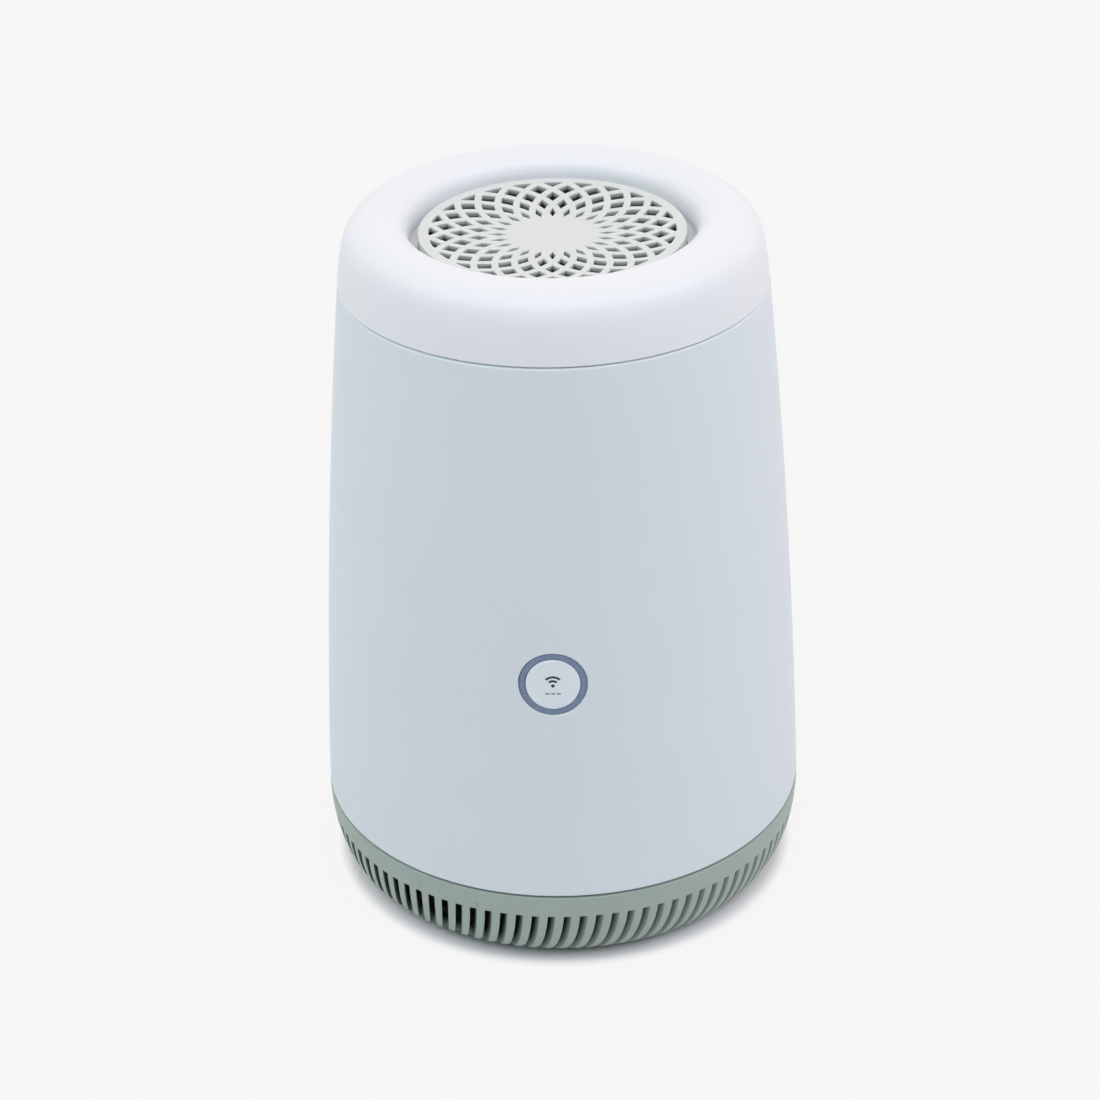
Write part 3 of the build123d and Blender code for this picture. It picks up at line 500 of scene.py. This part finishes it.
def addLouvredBase():
    section, outRows, inRows = bowlSection()
    inside = range(min(inRows), len(section) - 2)  # rows that face into the bowl
    count, columns, half = louvre["count"], louvre["vaneColumns"], louvre["gap"] / 2
    pitch = 2 * pi / count
    front = radians(louvre["start"] - 90)
    form = bmesh.new()
    depth = form.loops.layers.float.new("slotDepth")
    grid = []
    for row, (radius, height) in enumerate(section):
        left, right = slotAngle(radius, -half), slotAngle(radius, half) + pitch
        angles = [front + pitch * sector + left + (right - left) * column / columns
                  for sector in range(count) for column in range(columns + 1)]
        grid.append([form.verts.new((radius * cos(angle) * mm, radius * sin(angle) * mm, height * mm))
                     for angle in angles])
    width = columns + 1
    cut = set(outRows[:-1]) | set(inRows[1:])
    for row in range(len(section)):
        here, after = grid[row], grid[(row + 1) % len(section)]
        for column in range(count * width):
            if row in cut and column % width == columns:
                continue
            beside = (column + 1) % (count * width)
            face = form.faces.new((here[column], here[beside], after[beside], after[column]))
            for loop in face.loops:
                # faces that look into the bowl get full painted shade
                loop[depth] = 1.0 if row in inside else 0.0
    for sector in range(count):
        left = sector * width + columns
        right = (left + 1) % (count * width)
        walls = [(grid[outRows[step]][side], grid[outRows[step + 1]][side],
                  grid[inRows[step + 1]][side], grid[inRows[step]][side])
                 for side in (left, right) for step in range(len(outRows) - 1)]
        walls += [(grid[outRows[end]][left], grid[outRows[end]][right],
                   grid[inRows[end]][right], grid[inRows[end]][left]) for end in (0, -1)]
        shares = (louvre["mouth"], louvre["mouth"], 1.0, 1.0)  # each wall starts with its two outer corners; painted shade is slight at the mouth and full inside
        for wall in walls:
            for loop, share in zip(form.faces.new(wall).loops, shares):
                loop[depth] = share
    bmesh.ops.recalc_face_normals(form, faces=form.faces)
    mesh = bpy.data.meshes.new("louvredBase")
    form.to_mesh(mesh)
    form.free()
    smoothFaces(mesh, louvre["sharp"])
    base = addPiece("louvredBase", mesh, "housing", "base_grey")
    rounding = base.modifiers.new("roundedEdges", "BEVEL")
    rounding.width = louvre["edge"] * mm
    rounding.segments = louvre["edgeSteps"]
    rounding.limit_method = "ANGLE"
    rounding.angle_limit = radians(louvre["edgeAngle"])
    base.modifiers.new("evenShading", "WEIGHTED_NORMAL")
    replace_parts(base, "base_louvre")


# Ledge on the throat's wall, just below the disc: the pale floor of the gap round it
ledge = {"outer": 37.0, "inner": 34.0, "drop": 8.0, "thick": 1.2, "edge": 0.2, "steps": 180, "sharp": 40}


def addLedge():
    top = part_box("crown_ring")[1].z / mm - ledge["drop"]
    low = top - ledge["thick"]
    outer, inner, edge = ledge["outer"], ledge["inner"], ledge["edge"]
    section = [(outer, top), (inner + edge, top), (inner, top - edge), (inner, low), (outer, low)]
    form = bmesh.new()
    rings = []
    for step in range(ledge["steps"]):
        angle = 2 * pi * step / ledge["steps"]
        rings.append([form.verts.new(Vector((*onCircle(radius, angle), height)) * mm)
                      for radius, height in section])
    for step, here in enumerate(rings):
        after = rings[(step + 1) % len(rings)]
        for point in range(len(section)):
            beside = (point + 1) % len(section)
            form.faces.new((here[point], here[beside], after[beside], after[point]))
    bmesh.ops.recalc_face_normals(form, faces=form.faces)
    mesh = bpy.data.meshes.new("throatLedge")
    form.to_mesh(mesh)
    form.free()
    smoothFaces(mesh, ledge["sharp"])
    addPiece("throatLedge", mesh, "housing", "crown_white")


addGrille()
addLedge()
addLouvredBase()
print("grille, ledge and louvred base made")

# Printed mark on the cap, sizes from the cap's middle: a plain fan of waves over three dashes
mark = {"ink": "#26303a", "dashInk": "#77838d", "speckle": 0.25, "gloss": (0.5, 0.66), "ior": 1.5,
        "proud": 0.03, "thick": 0.09, "edge": 0.01, "edgeSteps": 0,
        "fanFoot": -0.2, "dot": 0.45, "dotSteps": 24, "waves": (1.35, 2.45), "waveWidth": 0.58,
        "spread": 46, "arcSteps": 14, "dashRise": -2.45, "dash": (1.0, 0.42), "dashGap": 0.42}


def printedInk(name, color):  # pad-printing ink: flat and a little duller than the cap
    finish, tree, place, shader = startFinish(name)
    speckle = addNode(tree, "TexNoise", {"Scale": perSize(mark["speckle"]), "Detail": 2.0},
                      {"Vector": place})
    gloss = addNode(tree, "MapRange", {"To Min": mark["gloss"][0], "To Max": mark["gloss"][1]},
                    {"Value": speckle.outputs["Fac"]})
    tree.links.new(gloss.outputs["Result"], shader.inputs["Roughness"])
    setShader(shader, Base_Color=hexColor(color), IOR=mark["ior"])
    return finish


def waveOutline(radius, foot):
    half = mark["waveWidth"] / 2
    steps = mark["arcSteps"]
    sweep = [radians(90 - mark["spread"] + 2 * mark["spread"] * step / steps) for step in range(steps + 1)]
    outside = [onCircle(radius + half, angle, foot) for angle in sweep]
    return outside + [onCircle(radius - half, angle, foot) for angle in reversed(sweep)]


def addPrint(name, outlines, color):
    cap = frame["nodes"]["setup_button"]
    low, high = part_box("setup_button")
    middle = (low.z + high.z) / 2
    mesh = roundedPlate(name, [[(x * mm, y * mm) for x, y in outline] for outline in outlines],
                        mark["thick"] * mm, mark["edge"] * mm, mark["edgeSteps"])
    for vertex in mesh.vertices:
        x, z, lift = vertex.co.x, middle + vertex.co.y, vertex.co.z - mark["thick"] * mm / 2
        surface = cap.ray_cast((x, 2 * low.y, z), (0, 1, 0))[1]  # straight back, from well in front
        vertex.co = (x, surface.y - lift - mark["proud"] * mm, z)
    piece = bpy.data.objects.new(name, mesh)
    bpy.context.scene.collection.objects.link(piece)
    mesh.materials.append(printedInk(name + "Ink", color))
    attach(piece, "setup")


def addButtonMark():
    foot = (0, mark["fanFoot"])
    steps = mark["dotSteps"]
    dot = [onCircle(mark["dot"], 2 * pi * step / steps, foot) for step in range(steps)]
    addPrint("buttonFan", [dot] + [waveOutline(radius, foot) for radius in mark["waves"]], mark["ink"])
    wide, tall = [side / 2 for side in mark["dash"]]
    pitch = mark["dash"][0] + mark["dashGap"]
    dashes = []
    for step in (-1, 0, 1):
        x, z = step * pitch, mark["dashRise"]
        dashes.append([(x - wide, z - tall), (x + wide, z - tall),
                       (x + wide, z + tall), (x - wide, z + tall)])
    addPrint("buttonDashes", dashes, mark["dashInk"])


# Inside each network socket, sizes from its mouth: eight sprung contacts and two lamp windows
socket = {"jacks": ("lan_jack_1", "lan_jack_2", "lan_jack_3", "wan_jack"), "contacts": 8, "pitch": 1.02,
          "wire": 0.21, "wireSteps": 2, "path": ((1.6, -2.6), (2.3, -3.2), (4.4, -11.4), (4.5, -12.4)),
          "lampAt": (11.5, 5.7), "lampSize": (1.5, 1.0, 2.5), "lampProud": 0.1, "lampEdge": 0.25,
          "lampSteps": 2, "lampColors": ("#93ad8b", "#c2a978"), "sharp": 40}


def addContacts():
    curve = bpy.data.curves.new("socketContacts", "CURVE")
    curve.dimensions = "3D"
    curve.bevel_depth = socket["wire"] * mm
    curve.bevel_resolution = socket["wireSteps"]
    curve.use_fill_caps = True
    for jack in socket["jacks"]:
        low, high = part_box(jack)
        for step in range(socket["contacts"]):
            across = (low.z + high.z) / 2 + (step - (socket["contacts"] - 1) / 2) * socket["pitch"] * mm
            spline = curve.splines.new("POLY")
            spline.points.add(len(socket["path"]) - 1)
            for point, (inwards, deep) in zip(spline.points, socket["path"]):
                point.co = (low.x + inwards * mm, high.y + deep * mm, across, 1)
    mesh = meshOfCurve("socketContacts", curve)
    smoothFaces(mesh, socket["sharp"])
    addPiece("socketContacts", mesh, "housing", "contact_metal")


def addSocketLamps():
    for number, color in enumerate(socket["lampColors"]):
        form = bmesh.new()
        for jack in socket["jacks"]:
            low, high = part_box(jack)
            inwards, aside = socket["lampAt"]
            wide, deep, tall = [side * mm for side in socket["lampSize"]]
            place = Vector((low.x + inwards * mm, high.y + socket["lampProud"] * mm - deep / 2,
                            (low.z + high.z) / 2 + (aside if number else -aside) * mm))
            shape = Matrix.Translation(place) @ Matrix.Diagonal((wide, deep, tall, 1))
            window = bmesh.ops.create_cube(form, size=1, matrix=shape)
            edges = {edge for vertex in window["verts"] for edge in vertex.link_edges}
            bmesh.ops.bevel(form, geom=list(edges), offset=socket["lampEdge"] * mm,
                            segments=socket["lampSteps"], profile=0.5, affect="EDGES")
        name = "socketLamps." + str(number + 1)
        mesh = bpy.data.meshes.new(name)
        form.to_mesh(mesh)
        form.free()
        smoothFaces(mesh, socket["sharp"])
        windows = addPiece(name, mesh, "housing", "lamp_white")
        look = dict(plastics["lamp_white"], name="castEpoxyLamp", color=color, shade=color)
        windows.data.materials[0] = mouldedPlastic(look)


addButtonMark()
addContacts()
addSocketLamps()
print("button mark and socket details made")

# Camera at the photograph's place, in millimetres and degrees: pixel values belong to its 1100 pixel square
viewpoint = {"target": (0, 0, 98.3), "elevation": 28.848, "distance": 759.394, "roll": 1.163, "turn": 2.05,
             "focalPixels": 2844.294, "aimPixels": (8.979, 25.044), "imageSide": 1100, "sensor": 36.0,
             "nearest": 50.0}


def addCamera():
    lift = radians(viewpoint["elevation"])
    back = Vector((0, -cos(lift), sin(lift)))
    right = Vector((1, 0, 0))
    up = back.cross(right)
    yaw, pitch = [atan2(pixels, viewpoint["focalPixels"]) for pixels in viewpoint["aimPixels"]]
    axes = Matrix((right, up, -back))
    axes = Matrix.Rotation(-pitch, 3, "X") @ Matrix.Rotation(yaw, 3, "Y") @ axes
    axes = Matrix.Rotation(radians(viewpoint["roll"]), 3, "Z") @ axes
    turn = Matrix.Rotation(radians(viewpoint["turn"]), 3, "Z")
    place = turn @ (Vector(viewpoint["target"]) + back * viewpoint["distance"]) * mm
    lens = bpy.data.cameras.new("photoCamera")
    lens.sensor_width = viewpoint["sensor"]
    lens.lens = viewpoint["sensor"] * viewpoint["focalPixels"] / viewpoint["imageSide"]
    lens.clip_start = viewpoint["nearest"] * mm
    camera = bpy.data.objects.new("photoCamera", lens)
    bpy.context.scene.collection.objects.link(camera)
    facing = turn @ axes.transposed() @ Matrix.Diagonal((1, 1, -1))
    camera.matrix_world = Matrix.Translation(place) @ facing.to_4x4()
    bpy.context.scene.camera = camera


addCamera()
print("camera placed")

# Studio sizes and lamp places are in metres
studio = {"backdrop": "#f7f7f7", "floorSide": 12.0, "floorGlow": 0.95, "footShade": (0.0605, 0.064),
          "farGlow": (0.3, 1.5), "ambient": "#f2f6ff", "ambientLevel": 0.1, "lampAim": (0, 0, 0.09)}
lamps = {
    "overhead": {"place": (0.0, 0.1, 1.3), "side": 1.5, "watts": 2.8, "color": "#ffc4b8"},
    "upperRight": {"place": (0.9, -0.2, 1.0), "side": 0.9, "watts": 8.0, "color": "#f8f4fa"},
    "upperLeft": {"place": (-0.9, -0.2, 1.0), "side": 0.9, "watts": 7.0, "color": "#eef4f7"},
    "upperFront": {"place": (0.0, -0.75, 1.15), "side": 1.0, "watts": 6.5, "color": "#f0f9ff"},
    "behind": {"place": (0.0, 1.3, 0.45), "side": 1.0, "watts": 3.5, "color": "#fffaf6", "mirrored": False},
    "backRight": {"place": (0.95, 0.8, 0.5), "side": 0.9, "watts": 2.5, "color": "#fff7f5"},
    "backLeft": {"place": (-0.95, 0.8, 0.5), "side": 0.9, "watts": 2.5, "color": "#fff7f5"},
}


def seenDirectly(tree):  # 1 for rays that show the backdrop itself: camera, mirror and glass rays
    path = addNode(tree, "LightPath")
    mirror, glass = path.outputs["Is Glossy Ray"], path.outputs["Is Transmission Ray"]
    shiny = addNode(tree, "Math", {}, {0: mirror, 1: glass}, operation="MAXIMUM")
    seen = addNode(tree, "Math", {}, {0: path.outputs["Is Camera Ray"], 1: shiny.outputs[0]},
                   operation="MAXIMUM")
    return seen.outputs[0]


def addWorld():
    world = bpy.data.worlds.new("studioWorld")
    bpy.context.scene.world = world
    world.use_nodes = True
    tree = world.node_tree
    tree.nodes.clear()
    light = addNode(tree, "Background", {"Color": hexColor(studio["ambient"]),
                                         "Strength": studio["ambientLevel"]})
    shown = addNode(tree, "Background", {"Color": hexColor(studio["backdrop"]), "Strength": 1.0})
    both = addNode(tree, "MixShader", {}, {0: seenDirectly(tree), 1: light.outputs[0], 2: shown.outputs[0]})
    addNode(tree, "OutputWorld", links={"Surface": both.outputs[0]})


def addFloor():
    half = studio["floorSide"] / 2
    mesh = bpy.data.meshes.new("studioFloor")
    corners = [(-half, -half, 0), (half, -half, 0), (half, half, 0), (-half, half, 0)]
    mesh.from_pydata(corners, [], [(0, 1, 2, 3)])
    floor = bpy.data.objects.new("studioFloor", mesh)
    bpy.context.scene.collection.objects.link(floor)
    finish = bpy.data.materials.new("paleBackdropPaper")
    finish.use_nodes = True
    tree = finish.node_tree
    tree.nodes.clear()
    paper = addNode(tree, "BsdfDiffuse", {"Color": hexColor(studio["backdrop"])})
    glow = addNode(tree, "Emission", {"Color": hexColor(studio["backdrop"]), "Strength": 1.0})
    place = addNode(tree, "TexCoord").outputs["Object"]
    away = addNode(tree, "VectorMath", {}, {0: place}, operation="LENGTH")
    # under the object's edge the paper keeps its full shadow
    near = addNode(tree, "MapRange", {"From Min": studio["footShade"][0], "From Max": studio["footShade"][1],
                                      "To Max": studio["floorGlow"]}, {"Value": away.outputs["Value"]})
    far = addNode(tree, "MapRange", {"From Min": studio["farGlow"][0], "From Max": studio["farGlow"][1]},
                  {"Value": away.outputs["Value"]})  # far off the paper rises into the backdrop
    lit = addNode(tree, "Math", {}, {0: near.outputs["Result"], 1: far.outputs["Result"]},
                  operation="MAXIMUM")
    share = addNode(tree, "Math", {}, {0: seenDirectly(tree), 1: lit.outputs[0]}, operation="MULTIPLY")
    both = addNode(tree, "MixShader", {}, {0: share.outputs[0], 1: paper.outputs[0], 2: glow.outputs[0]})
    addNode(tree, "OutputMaterial", links={"Surface": both.outputs[0]})
    mesh.materials.append(finish)


def addLamps():
    aim = Vector(studio["lampAim"])
    for name, lamp in lamps.items():
        light = bpy.data.lights.new(name, "AREA")
        light.size = lamp["side"]
        light.energy = lamp["watts"]
        light.color = hexColor(lamp["color"])[:3]
        box = bpy.data.objects.new(name, light)
        bpy.context.scene.collection.objects.link(box)
        box.location = lamp["place"]
        box.visible_glossy = lamp.get("mirrored", True)  # the one behind would glare off the crown
        box.rotation_mode = "QUATERNION"
        box.rotation_quaternion = (aim - box.location).to_track_quat("-Z", "Y")


addWorld()
addFloor()
addLamps()
bpy.context.scene.view_settings.view_transform = "Standard"
print("studio set")
